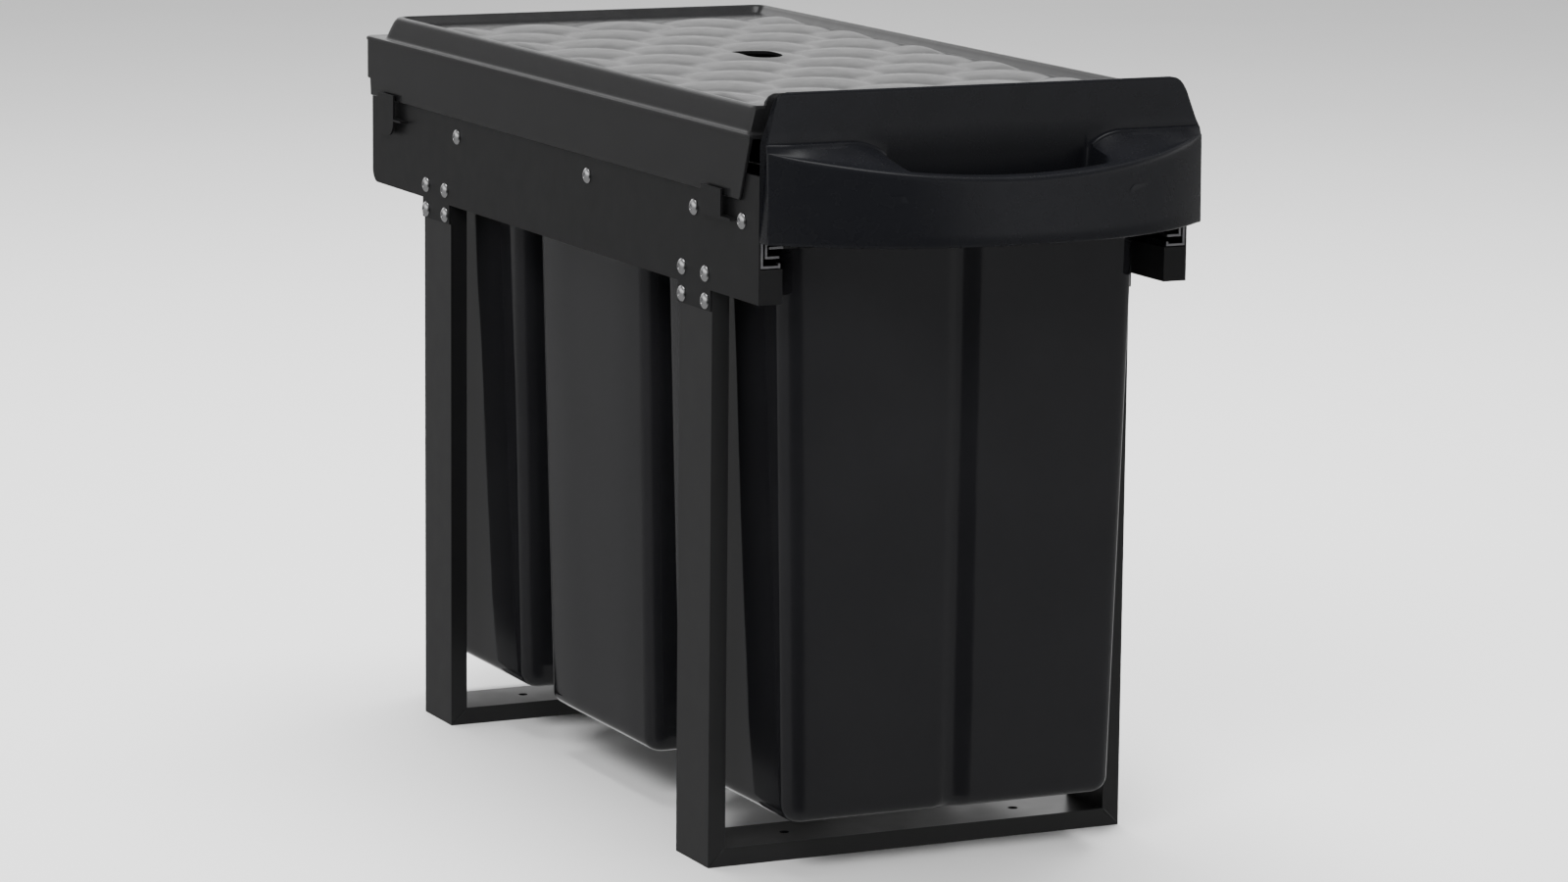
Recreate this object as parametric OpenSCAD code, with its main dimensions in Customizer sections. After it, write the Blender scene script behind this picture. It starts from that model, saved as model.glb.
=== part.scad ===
// Pull-out waste bin for a kitchen base cabinet. Two U-shaped floor frames carry a pair of
// folded side rails, and a carrier on telescopic ball slides hangs three buckets between them.
// X is across the cabinet, the front faces -Y, and Z is up from the cabinet floor.
// The origin is the centre of the four floor screw holes, on the floor.

/* [Floor frames] */
// Width over the outer faces of the legs
frame_w = 250; // [240:1:320]
// Length of rail in front of the front legs
front_overhang = 60; // [50:1:80]
// Length of rail behind the rear legs
rear_overhang = 82.8; // [60:0.2:100]
// Width of the rectangular tube, along the slide direction
tube_w = 42; // [38:1:44]
// Thickness of the rectangular tube
tube_t = 10; // [8:0.5:12]
// Wall of the tube
tube_wall = 1.2; // [1:0.1:2]
// Diameter of the floor screw holes
floor_hole_d = 5.5; // [4:0.5:7]
// Distance between the two screw holes of one frame
floor_hole_spacing = 140; // [100:5:180]

/* [Side rails] */
// Height of the rail's top edge above the floor
rail_top = 380; // [340:5:500]
// Height of the rail's sheet
rail_h = 67; // [66:1:80]
// Thickness of the rail's sheet
sheet_t = 1.2; // [1:0.1:1.5]
// Inward width of the folded lower edge
fold_w = 12.4; // [11:0.1:12.6]
// Height of the folded lower edge
fold_h = 18.5; // [12:0.5:18.5]
// How far the leg tabs hang below the rail
tab_drop = 11.5; // [10:0.5:14]
// Gap between a fold's end and the leg beside it
fold_relief = 10; // [6:1:20]
// Width of a lid hook
hook_w = 25; // [18:1:32]
// Free width between the rail and a hook
hook_gap = 3.4; // [3:0.1:5]

/* [Slides] */
// Height of the outer slide member
slide_h = 45; // [45:1:46]
// Thickness of the closed slide
slide_w = 12.7; // [12.7:0.1:15.2]
// How far the slide ends before the back of the rail
slide_setback = 4.8; // [1:0.2:60]
// Depth of the slide's middle line below the top of the rail
slide_drop = 25.4; // [25:0.1:27]
// Diameter of a bearing ball
ball_d = 3.2; // [3:0.1:3.3]
// Gap between a ball and each track
ball_play = 0.3; // [0.2:0.05:0.35]
// Length of a ball cage
cage_len = 180; // [140:5:200]

/* [Buckets] */
// Length of a bucket's body at the rim, along the slide
bucket_l = 158; // [120:1:170]
// Gap between two bucket bodies at the rim
bucket_gap = 22; // [20:1:40]
// Height of a bucket's underside above the floor
bucket_clear = 30; // [20:1:60]
// Wall of a bucket
bucket_wall = 1.8; // [1.5:0.1:2.5]
// Draught of the buckets' long sides, in mm per mm of height
bucket_draft_x = 0.024; // [0.01:0.002:0.05]
// Draught of the buckets' front and back, in mm per mm of height
bucket_draft_y = 0.012; // [0.006:0.002:0.04]
// Radius of a bucket's upright corners at the rim
bucket_corner_r = 11; // [8:1:25]

/* [Lid] */
// Wall of the moulded lid
lid_wall = 1.8; // [1.5:0.1:2.5]
// How far the lid's skirt reaches below the top of the rail
skirt_drop = 14.5; // [10:0.5:18]
// Height of the lid's ridge above the top of the rail
lid_rise = 35; // [34:1:50]
// Depth of the recessed field inside the ridge
field_depth = 5; // [2:0.5:6]
// Width of the finger slot in the lid
slot_w = 22; // [18:1:30]
// Length of the finger slot in the lid
slot_l = 38; // [32:1:60]

/* [Front panel] */
// Height of the panel's top edge above the top of the rail
panel_rise = 43.5; // [40:0.5:60]
// Height of the panel's lower edge below the top of the rail
panel_drop = 34; // [30:1:40]
// How far the bowed grip stands forward of the panel
bow_depth = 48; // [40:1:60]
// Wall of the moulded panel
panel_wall = 3; // [2.5:0.1:4]
// Half width of the finger pocket
pocket_half_w = 58; // [50:1:65]

/* [Fasteners] */
// Diameter of a rivet head
rivet_head_d = 9; // [8:0.1:10]
// Diameter of a rivet shank
rivet_d = 4.8; // [4:0.1:5]
// Diameter of a machine screw
screw_d = 4; // [3.5:0.1:4.5]
// Radial gap between a fastener and its hole
hole_play = 0.1; // [0.05:0.05:0.2]

/* [Hidden] */
$fn = 48;
eps = 0.01;

// floor frames
half_w = frame_w / 2;
rail_bottom = rail_top - rail_h;
slide_z = rail_top - slide_drop;
leg_top_gap = 1;
leg_top = slide_z - slide_h / 2 - leg_top_gap;
through = 40;

// ball slides, from the rail inwards
cage_t = 0.6;
lip_h = 1.2;
track_gap = ball_d + 2 * ball_play;
outer_half = slide_h / 2;
middle_half = outer_half - sheet_t - track_gap;
inner_half = middle_half - sheet_t - track_gap;
outer_ball_z = middle_half + track_gap / 2;
inner_ball_z = inner_half + track_gap / 2;
outer_cage_x = -half_w + sheet_t + ball_play;
middle_x = outer_cage_x + cage_t + ball_play;
inner_cage_x = middle_x + sheet_t + ball_play;
inner_tip_x = inner_cage_x + cage_t + ball_play;
carrier_half = half_w - slide_w;
outer_tip_x = -carrier_half - 1.6;
middle_tip_x = -carrier_half - 2.2;
ball_x = -carrier_half - 5.2;
cage_tip_x = ball_x + ball_d / 2 + 0.7;
cage_hold = 0.06;
balls_per_row = 6;
cage_margin = 12;

// buckets and carrier, along the slide
bucket_pitch = bucket_l + bucket_gap;
seat_w = 5.8;
seat_gap = 0.7;
rim_gap = 1.5;
rim_h = 6;
rim_neck = 2;
rim_inset = 0.35;
seat_z = rail_top - 5;
bucket_half_w = carrier_half - seat_w - seat_gap;
rim_half_w = carrier_half - rim_gap;
rim_over = rim_half_w - bucket_half_w;
bucket_h = seat_z - bucket_clear;
bar_w = 13.8;
carrier_len = 2 * bucket_pitch + bucket_l + 2 * bar_w;
carrier_lip = 13;
carrier_ahead = 0.8;
rear_gap = 10;

// side rails
rail_len = carrier_len - carrier_ahead + rear_gap;
frame_spacing = rail_len - front_overhang - rear_overhang - tube_w;
frame_y = frame_spacing / 2;
rail_front = -frame_y - tube_w / 2 - front_overhang;
rail_rear = rail_front + rail_len;
carrier_front = rail_front - carrier_ahead;
carrier_rear = carrier_front + carrier_len;
bucket_row_y = (carrier_front + carrier_rear) / 2;
rail_corner_r = 8;
rail_out = half_w + sheet_t;
leg_near = frame_y - tube_w / 2;
leg_far = frame_y + tube_w / 2;
fold_front_gap = 24;
hook_shelf_z = slide_z - 0.6;
hook_top_z = rail_top - 10.5;
hook_ahead = 12;
front_hook_y = rail_front + 50.5;
rear_hook_y = rail_rear - 33.5;
hook_lobe = 9;
hook_out = rail_out + hook_gap;

// slides, along the slide
slide_front = rail_front;
slide_rear = rail_rear - slide_setback;
slide_len = slide_rear - slide_front;
bumper_l = 10;
bumper_gap = 1;
bumper_half_h = 15;
moving_len = slide_len - bumper_l - 2 * bumper_gap;
cage_front = slide_front + (slide_len - cage_len) / 2 - 20;

// fasteners
rivet_head_h = 2.2;
rivet_dimple_r = 1.5;
rivet_dimple_h = 0.9;
rivet_tail_r = 4;
rivet_tail_h = 2;
leg_rivet_y = 14.8;
leg_rivet_z = [rail_bottom + 8, rail_bottom - 6.5];
slide_rivet_y = [slide_front + 20.5, slide_front + 81, slide_front + 224, slide_rear - 133];
rivet_hole_r = rivet_d / 2 + hole_play;
screw_r = screw_d / 2;
screw_hole_r = screw_r + hole_play;
screw_head_r = 3.8;
screw_head_h = 1.7;
drawer_screw_y = [slide_front + 25, (slide_front + slide_rear) / 2, slide_rear - 35];
drawer_screw_reach = 2.6;

// lid
lid_play = 0.6;
lid_out = rail_out + lid_play + lid_wall;
lid_front = rail_front + 8;
lid_rear = rail_rear + 7;
skirt_top = rail_top + 18.5;
ledge_z = rail_top + 21;
ridge_z = rail_top + lid_rise;
crown_front = lid_front + 6;
crown_rear = lid_rear - 20;
crown_half = lid_out - 3.1;
crown_lean = 4;
rear_lean = 14;
ridge_w = 3;
field_slope = 5;
skirt_slant = 13;
rear_skirt_lift = 10;
front_lip_rise = 6;
front_lip_half = crown_half - 9.5;
lid_rib_t = 2;
lid_rib_w = 4.8;
lid_rib_count = 5;
lid_mid_y = (lid_front + crown_rear) / 2;

// front panel
panel_gap = 2;
panel_back = rail_front - panel_gap;
panel_face = panel_back - 7.3;
panel_half = half_w + 1.3;
panel_top_half = half_w - 5;
panel_bottom = rail_top - panel_drop;
shoulder_z = rail_top + 17.5;
panel_top = rail_top + panel_rise;
panel_lean = 4.5;
panel_corner_r = 8;
bow_half = half_w + 2;
bow_power = 2.6;
bow_end = 3;
bow_steps = 48;
bow_top = rail_top + 13.3;
bow_dip = 12.5;
dip_r = (bow_half * bow_half + bow_dip * bow_dip) / (2 * bow_dip);
grip_t = 13;
pocket_floor_z = panel_bottom + 6;
flare_w = 20;
flare_z = bow_top - bow_dip + 3;
shoulder_l = 30;
bracket_half_w = carrier_half - 8;
bracket_top = rail_top + 12;
bracket_bottom = slide_z - inner_half;
panel_screw_x = 70;
panel_screw_z = [rail_top - 24, rail_top + 5];
panel_screw_reach = 6;

// A flat outline in Y and Z, raised along +X from x0.
module on_side(x0, thickness) {
    translate([x0, 0, 0])
        rotate([90, 0, 90])
            linear_extrude(thickness)
                children();
}

// A flat outline in X and Z, drawn out along Y from y0.
module along_y(y0, length) {
    translate([0, y0 + length, 0])
        rotate([90, 0, 0])
            linear_extrude(length)
                children();
}

// A block between two corners.
module block(low, high) {
    translate(low)
        cube(high - low);
}

// Both sides of the bin: the left one as drawn, and the right one mirrored.
module left_and_right() {
    children();
    mirror([1, 0, 0])
        children();
}

// A rectangle about the origin with true round corners.
module round_rect(half_x, half_y, r) {
    square([2 * half_x, 2 * (half_y - r)], center = true);
    square([2 * (half_x - r), 2 * half_y], center = true);
    for (sx = [-1, 1], sy = [-1, 1])
        translate([sx * (half_x - r), sy * (half_y - r)])
            circle(r);
}

// ---- floor frames ----

// The U outline of a frame, with every face moved in by inset.
module u_outline(inset, top) {
    difference() {
        translate([-half_w + inset, inset])
            square([frame_w - 2 * inset, top - inset]);
        translate([-half_w + tube_t - inset, tube_t - inset])
            square([frame_w - 2 * (tube_t - inset), top]);
    }
}

module leg_rivet_holes() {
    for (sy = [-1, 1], sr = [-1, 1], z = leg_rivet_z)
        translate([-half_w - through / 2, sy * frame_y + sr * leg_rivet_y, z])
            rotate([0, 90, 0])
                cylinder(h = through / 2 + tube_t / 2, r = rivet_hole_r);
}

module leg_frame(y) {
    color("#1c1c1e")
        difference() {
            along_y(y - tube_w / 2, tube_w)
                u_outline(0, leg_top);
            along_y(y - tube_w / 2 + tube_wall, tube_w - 2 * tube_wall)
                u_outline(tube_wall, leg_top + 1);
            for (sx = [-1, 1])
                translate([sx * floor_hole_spacing / 2, y, -1])
                    cylinder(h = tube_t + 2, d = floor_hole_d);
            left_and_right()
                leg_rivet_holes();
        }
}

module front_leg_frame() {
    leg_frame(-frame_y);
}

module rear_leg_frame() {
    leg_frame(frame_y);
}

// ---- side rails ----

module rail_outline() {
    difference() {
        union() {
            translate([rail_front, rail_bottom])
                square([rail_len - rail_corner_r, rail_h]);
            translate([rail_front, rail_bottom + rail_corner_r])
                square([rail_len, rail_h - rail_corner_r]);
            translate([rail_rear - rail_corner_r, rail_bottom + rail_corner_r])
                circle(rail_corner_r);
            for (sy = [-1, 1])
                translate([sy * frame_y - tube_w / 2, rail_bottom - tab_drop])
                    square([tube_w, tab_drop + eps]);
        }
        for (sy = [-1, 1], sr = [-1, 1], z = leg_rivet_z)
            translate([sy * frame_y + sr * leg_rivet_y, z])
                circle(rivet_hole_r);
        for (y = slide_rivet_y)
            translate([y, slide_z])
                circle(rivet_hole_r);
        for (y = [front_hook_y, rear_hook_y])
            translate([y - hook_w / 2, hook_shelf_z + sheet_t])
                square([hook_w, hook_top_z - hook_shelf_z]);
    }
}

// The folded lower edge between two places: a floor and an inner wall.
module rail_fold(y0, y1) {
    block([-half_w - eps, y0, rail_bottom], [-half_w + fold_w, y1, rail_bottom + sheet_t]);
    block([-half_w + fold_w - sheet_t, y0, rail_bottom],
          [-half_w + fold_w, y1, rail_bottom + fold_h]);
}

// A tab cut from the rail, folded out as a shelf and then up outside the lid's skirt.
module lid_hook(y, lobe) {
    block([-hook_out - sheet_t, y - hook_w / 2 - hook_ahead, hook_shelf_z],
          [-rail_out + eps, y + hook_w / 2, hook_shelf_z + sheet_t]);
    on_side(-hook_out - sheet_t, sheet_t) {
        translate([y - hook_w / 2, hook_shelf_z])
            square([hook_w, hook_top_z - hook_shelf_z]);
        if (lobe > 0) {
            translate([y - hook_w / 2 + lobe, hook_shelf_z])
                circle(lobe);
            translate([y - hook_w / 2 + lobe, hook_shelf_z - lobe])
                square([hook_w - lobe, lobe + eps]);
        }
    }
}

module side_rail() {
    color("#1c1c1e") {
        on_side(-rail_out, sheet_t)
            rail_outline();
        rail_fold(rail_front, -leg_far - fold_front_gap);
        rail_fold(-leg_near + fold_relief, leg_near - fold_relief);
        rail_fold(leg_far + fold_relief, rail_rear - rail_corner_r);
        block([-half_w - eps, rail_front, rail_bottom],
              [-half_w + fold_w, rail_front + sheet_t, rail_bottom + fold_h]);
        lid_hook(front_hook_y, 0);
        lid_hook(rear_hook_y, hook_lobe);
    }
}

module left_side_rail() {
    side_rail();
}

module right_side_rail() {
    mirror([1, 0, 0])
        side_rail();
}

// ---- rivets ----

// A blind rivet along +X whose head bears on the plane x = 0.
module rivet(grip, tail_h) {
    rotate([0, 90, 0])
        rotate_extrude()
            difference() {
                union() {
                    translate([0, -rivet_head_h])
                        square([rivet_head_d / 2 - rivet_head_h, rivet_head_h]);
                    intersection() {
                        translate([rivet_head_d / 2 - rivet_head_h, 0])
                            circle(rivet_head_h);
                        translate([0, -rivet_head_h])
                            square([rivet_head_d / 2, rivet_head_h]);
                    }
                    translate([0, -eps])
                        square([rivet_d / 2, grip + eps]);
                    if (tail_h > 0)
                        translate([0, grip])
                            square([rivet_tail_r, tail_h]);
                }
                translate([0, -rivet_head_h - eps])
                    square([rivet_dimple_r, rivet_dimple_h]);
            }
}

module leg_rivets() {
    color("#c9cacc")
        left_and_right()
            for (sy = [-1, 1], sr = [-1, 1], z = leg_rivet_z)
                translate([-rail_out, sy * frame_y + sr * leg_rivet_y, z])
                    rivet(sheet_t + tube_wall, rivet_tail_h);
}

module slide_rivets() {
    color("#c9cacc")
        left_and_right()
            for (y = slide_rivet_y)
                translate([-rail_out, y, slide_z])
                    rivet(2 * sheet_t, 0);
}

// ---- ball slides ----

// A channel section: its web starts at web_x and its flanges end at tip_x.
module channel(web_x, tip_x, half_h, thickness) {
    low = min(web_x, tip_x);
    into = tip_x > web_x ? thickness : -thickness;
    difference() {
        translate([low, slide_z - half_h])
            square([abs(tip_x - web_x), 2 * half_h]);
        translate([low + into, slide_z - half_h + thickness])
            square([abs(tip_x - web_x), 2 * (half_h - thickness)]);
    }
}

module cabinet_member() {
    color("#232326")
        difference() {
            along_y(slide_front, slide_len) {
                channel(-half_w, outer_tip_x, outer_half, sheet_t);
                for (s = [-1, 1])
                    translate([outer_tip_x - lip_h / 2, slide_z + s * (outer_half - sheet_t)])
                        square([lip_h, 2 * lip_h], center = true);
            }
            for (y = slide_rivet_y)
                translate([-rail_out, y, slide_z])
                    rotate([0, 90, 0])
                        cylinder(h = 3 * sheet_t, r = rivet_hole_r);
        }
}

module middle_member() {
    color("#2a2a2d")
        along_y(slide_front, moving_len)
            channel(middle_x, middle_tip_x, middle_half, sheet_t);
}

module drawer_member() {
    color("#2a2a2d")
        difference() {
            along_y(slide_front, moving_len)
                channel(-carrier_half, inner_tip_x, inner_half, sheet_t);
            for (y = drawer_screw_y)
                translate([-carrier_half - 2 * sheet_t, y, slide_z])
                    rotate([0, 90, 0])
                        cylinder(h = 3 * sheet_t, r = screw_hole_r);
        }
}

function ball_y(i) =
    cage_front + cage_margin + i * (cage_len - 2 * cage_margin) / (balls_per_row - 1);

module ball_cage(web_x, ball_z) {
    color("#8d8f93")
        difference() {
            along_y(cage_front, cage_len)
                channel(web_x, cage_tip_x, ball_z + cage_t / 2, cage_t);
            for (i = [0 : balls_per_row - 1])
                translate([ball_x, ball_y(i), slide_z - slide_h / 2])
                    cylinder(h = slide_h, r = ball_d / 2 - cage_hold);
        }
}

module ball_rows(ball_z) {
    color("#d5d6d8")
        for (i = [0 : balls_per_row - 1], s = [-1, 1])
            translate([ball_x, ball_y(i), slide_z + s * ball_z])
                sphere(d = ball_d);
}

module left_cabinet_member() {
    cabinet_member();
}

module right_cabinet_member() {
    mirror([1, 0, 0])
        cabinet_member();
}

// Rubber stops at the closed end of the fixed members.
module slide_bumpers() {
    color("#101010")
        left_and_right()
            block([-half_w + sheet_t, slide_rear - bumper_l - bumper_gap, slide_z - bumper_half_h],
                  [outer_tip_x - lip_h, slide_rear - bumper_gap, slide_z + bumper_half_h]);
}

module left_middle_member() {
    middle_member();
}

module right_middle_member() {
    mirror([1, 0, 0])
        middle_member();
}

module left_outer_cage() {
    ball_cage(outer_cage_x, outer_ball_z);
}

module right_outer_cage() {
    mirror([1, 0, 0])
        ball_cage(outer_cage_x, outer_ball_z);
}

module left_outer_balls() {
    ball_rows(outer_ball_z);
}

module right_outer_balls() {
    mirror([1, 0, 0])
        ball_rows(outer_ball_z);
}

module left_inner_cage() {
    ball_cage(inner_cage_x, inner_ball_z);
}

module right_inner_cage() {
    mirror([1, 0, 0])
        ball_cage(inner_cage_x, inner_ball_z);
}

module left_inner_balls() {
    ball_rows(inner_ball_z);
}

module right_inner_balls() {
    mirror([1, 0, 0])
        ball_rows(inner_ball_z);
}

module left_drawer_member() {
    drawer_member();
}

module right_drawer_member() {
    mirror([1, 0, 0])
        drawer_member();
}

// ---- carrier ----

module drawer_screws() {
    color("#2b2b2e")
        left_and_right()
            for (y = drawer_screw_y)
                translate([-carrier_half + sheet_t, y, slide_z])
                    rotate([0, 90, 0]) {
                        cylinder(h = screw_head_h, r = screw_head_r);
                        translate([0, 0, -sheet_t - drawer_screw_reach])
                            cylinder(h = sheet_t + drawer_screw_reach + eps, r = screw_r);
                    }
}

module carrier_plate() {
    difference() {
        block([-carrier_half, carrier_front, seat_z - sheet_t],
              [carrier_half, carrier_rear, seat_z]);
        for (i = [-1 : 1])
            translate([0, bucket_row_y + i * bucket_pitch, seat_z - through / 2])
                linear_extrude(through)
                    round_rect(bucket_half_w + seat_gap, bucket_l / 2 + seat_gap,
                               bucket_corner_r + seat_gap);
    }
}

// A downward lip across the carrier whose outer face is at y.
module carrier_cross_lip(y) {
    block([-carrier_half + sheet_t - eps, y, seat_z - carrier_lip],
          [carrier_half - sheet_t + eps, y + sheet_t, seat_z - sheet_t + eps]);
}

module bucket_carrier() {
    color("#1c1c1e")
        difference() {
            union() {
                carrier_plate();
                left_and_right()
                    block([-carrier_half, carrier_front, bracket_bottom],
                          [-carrier_half + sheet_t, carrier_rear, seat_z - sheet_t + eps]);
                block([-carrier_half, carrier_front, bracket_bottom],
                      [carrier_half, carrier_front + sheet_t, seat_z - sheet_t + eps]);
                block([-carrier_half, carrier_rear - sheet_t, bracket_bottom],
                      [carrier_half, carrier_rear, seat_z - sheet_t + eps]);
                for (i = [-1 : 1]) {
                    carrier_cross_lip(bucket_row_y + i * bucket_pitch + bucket_l / 2 + seat_gap);
                    carrier_cross_lip(bucket_row_y + i * bucket_pitch - bucket_l / 2 - seat_gap
                                      - sheet_t);
                }
            }
            left_and_right()
                for (y = drawer_screw_y)
                    translate([-carrier_half - eps, y, slide_z])
                        rotate([0, 90, 0])
                            cylinder(h = 2 * sheet_t, r = screw_hole_r);
            panel_screw_holes([panel_screw_z[0]]);
        }
}

module panel_screw_holes(heights) {
    for (sx = [-1, 1], z = heights)
        translate([sx * panel_screw_x, carrier_front + 2 * sheet_t, z])
            rotate([90, 0, 0])
                cylinder(h = 5 * sheet_t, r = screw_hole_r);
}

module front_bracket() {
    color("#1c1c1e")
        difference() {
            block([-bracket_half_w, panel_back, bracket_bottom],
                  [bracket_half_w, carrier_front, bracket_top]);
            panel_screw_holes(panel_screw_z);
        }
}

// ---- front panel ----

function bow_y(x, depth) =
    -bow_end - (depth - bow_end) * (1 - pow(abs(x) / bow_half, bow_power));
function bow_points(half, depth, back) = concat(
    [for (i = [0 : bow_steps])
        let (x = half * (2 * i / bow_steps - 1))
            [x, panel_face + min(bow_y(x, bow_depth) + depth, back)]],
    [[half, panel_face + back + eps], [-half, panel_face + back + eps]]);

// Top outline of the panel's back plate, seen from the front.
module panel_outline() {
    r = panel_corner_r;
    difference() {
        polygon([[-panel_half, panel_bottom], [panel_half, panel_bottom],
                 [panel_half - 1, shoulder_z], [panel_top_half, panel_top],
                 [-panel_top_half, panel_top], [-panel_half + 1, shoulder_z]]);
        for (sx = [-1, 1])
            translate([sx * panel_top_half, panel_top])
                square([2 * r, 2 * r], center = true);
    }
    for (sx = [-1, 1])
        translate([sx * (panel_top_half - r), panel_top - r])
            circle(r);
}

module back_plate() {
    front = panel_face + eps;
    intersection() {
        along_y(panel_face - 1, panel_back - panel_face + 1)
            panel_outline();
        on_side(-panel_half - 1, 2 * panel_half + 2)
            polygon([[panel_back, panel_bottom], [panel_back, panel_top],
                     [panel_back - panel_wall, panel_top], [front, shoulder_z],
                     [front, panel_bottom]]);
    }
}

module shoulder_wedge() {
    on_side(-bow_half, 2 * bow_half)
        polygon([[panel_face, panel_bottom + panel_wall], [panel_face, shoulder_z],
                 [panel_face - shoulder_l, bow_top - 4],
                 [panel_face - shoulder_l, panel_bottom + panel_wall]]);
}

module bow_block() {
    intersection() {
        translate([0, 0, panel_bottom])
            linear_extrude(shoulder_z - panel_bottom)
                polygon(bow_points(bow_half, 0, 0));
        union() {
            difference() {
                block([-bow_half - 1, panel_face - 2 * bow_depth, panel_bottom],
                      [bow_half + 1, panel_face + 1, bow_top]);
                translate([0, panel_face - 2 * bow_depth - 1, bow_top - bow_dip + dip_r])
                    rotate([-90, 0, 0])
                        cylinder(h = 3 * bow_depth, r = dip_r, $fn = 360);
            }
            shoulder_wedge();
        }
    }
}

module finger_pocket() {
    translate([0, 0, pocket_floor_z])
        linear_extrude(shoulder_z - pocket_floor_z + 1)
            polygon(bow_points(pocket_half_w, grip_t, 0));
    along_y(panel_face - 2 * bow_depth, 2 * bow_depth)
        polygon([[-pocket_half_w, flare_z], [pocket_half_w, flare_z],
                 [pocket_half_w + flare_w, shoulder_z + 1],
                 [-pocket_half_w - flare_w, shoulder_z + 1]]);
}

// The hollow underside: a shallow one below the pocket and a deep one in each shoulder.
module panel_underside() {
    translate([0, 0, panel_bottom - 1])
        linear_extrude(pocket_floor_z - panel_bottom - panel_wall + 1)
            polygon(bow_points(bow_half - 4 * panel_wall, panel_wall, -panel_wall));
    intersection() {
        translate([0, 0, panel_bottom - 1])
            linear_extrude(bow_top - bow_dip - panel_bottom - panel_wall + 1)
                polygon(bow_points(bow_half - 4 * panel_wall, panel_wall, -panel_wall));
        left_and_right()
            block([-bow_half, panel_face - 2 * bow_depth, panel_bottom - 1],
                  [-pocket_half_w - panel_wall, panel_face, bow_top]);
    }
}

module front_panel() {
    color("#1f2124")
        difference() {
            union() {
                back_plate();
                difference() {
                    bow_block();
                    finger_pocket();
                    panel_underside();
                }
            }
            for (sx = [-1, 1], z = panel_screw_z)
                translate([sx * panel_screw_x, panel_back + 1, z])
                    rotate([90, 0, 0])
                        cylinder(h = panel_screw_reach + 1, r = screw_r);
        }
}

module panel_screws() {
    color("#2b2b2e")
        for (sx = [-1, 1], i = [0, 1]) {
            grip = i == 0 ? 2 * sheet_t : sheet_t;
            translate([sx * panel_screw_x, panel_back + grip, panel_screw_z[i]])
                rotate([90, 0, 0]) {
                    cylinder(h = grip + panel_screw_reach - 0.5, r = screw_r);
                    translate([0, 0, -screw_head_h])
                        cylinder(h = screw_head_h, r = screw_head_r);
                }
        }
}

// ---- buckets ----

// A thin slice of a bucket body at height z above its underside, made smaller by inset.
module bucket_slice(z, inset) {
    below = bucket_h - z;
    translate([0, 0, z])
        linear_extrude(eps)
            round_rect(bucket_half_w - below * bucket_draft_x - inset,
                       bucket_l / 2 - below * bucket_draft_y - inset,
                       max(bucket_corner_r - inset, 2), $fn = 32);
}

module bucket_body(inset, top) {
    hull() {
        bucket_slice(inset, inset + 9);
        bucket_slice(inset + 2.6, inset + 2.6);
        bucket_slice(inset + 9, inset);
        bucket_slice(top, inset);
    }
}

// A ring between two rounded rectangles that stand out from, or inside, the body by over.
module rim_ring(outer_over, inner_over) {
    difference() {
        round_rect(bucket_half_w + outer_over, bucket_l / 2 + outer_over,
                   bucket_corner_r + outer_over);
        round_rect(bucket_half_w + inner_over, bucket_l / 2 + inner_over,
                   bucket_corner_r + inner_over);
    }
}

// The rim: a neck set into the body's wall, a flat top and a turned-down lip.
module bucket_rim() {
    translate([0, 0, -rim_neck])
        linear_extrude(rim_neck + rim_h)
            rim_ring(-rim_inset, -bucket_wall + rim_inset);
    translate([0, 0, rim_h - bucket_wall])
        linear_extrude(bucket_wall)
            rim_ring(rim_over, -bucket_wall + rim_inset);
    linear_extrude(rim_h)
        rim_ring(rim_over, rim_over - bucket_wall);
}

module bucket(i) {
    color("#0e0e10")
        translate([0, bucket_row_y + i * bucket_pitch, bucket_clear]) {
            difference() {
                bucket_body(0, bucket_h);
                bucket_body(bucket_wall, bucket_h + 1);
            }
            translate([0, 0, bucket_h])
                bucket_rim();
        }
}

module front_bucket() {
    bucket(-1);
}

module middle_bucket() {
    bucket(0);
}

module rear_bucket() {
    bucket(1);
}

// ---- lid ----

// The crown of the lid with every wall moved in by inset, leaning in towards its ridge.
module crown(inset, top) {
    hull() {
        block([-crown_half + inset, crown_front + inset, skirt_top - 1],
              [crown_half - inset, crown_rear - inset, ledge_z]);
        block([-crown_half + crown_lean + inset, crown_front + inset, ledge_z],
              [crown_half - crown_lean - inset, crown_rear - rear_lean - inset, top]);
    }
}

module crown_field() {
    hull() {
        block([-crown_half + crown_lean + ridge_w, crown_front + ridge_w, ridge_z],
              [crown_half - crown_lean - ridge_w, crown_rear - rear_lean - ridge_w, ridge_z + 1]);
        block([-crown_half + crown_lean + ridge_w + field_slope,
               crown_front + ridge_w + field_slope, ridge_z - field_depth],
              [crown_half - crown_lean - ridge_w - field_slope,
               crown_rear - rear_lean - ridge_w - field_slope, ridge_z]);
    }
}

module side_skirt() {
    on_side(-lid_out, lid_wall)
        polygon([[lid_front, skirt_top], [lid_front + skirt_slant, rail_top - skirt_drop],
                 [rail_rear - 2, rail_top - skirt_drop],
                 [rail_rear - 2, rail_top - skirt_drop + rear_skirt_lift],
                 [lid_rear, rail_top - skirt_drop + rear_skirt_lift], [lid_rear, skirt_top]]);
}

// Ribs inside the skirt that rest on the top edges of the rails.
module lid_ribs() {
    pitch = (rail_len - 120) / (lid_rib_count - 1);
    for (i = [0 : lid_rib_count - 1])
        block([-lid_out + lid_wall - eps, rail_front + 60 + i * pitch, rail_top],
              [-lid_out + lid_wall + lid_rib_w, rail_front + 60 + i * pitch + lid_rib_t,
               skirt_top]);
}

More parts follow.
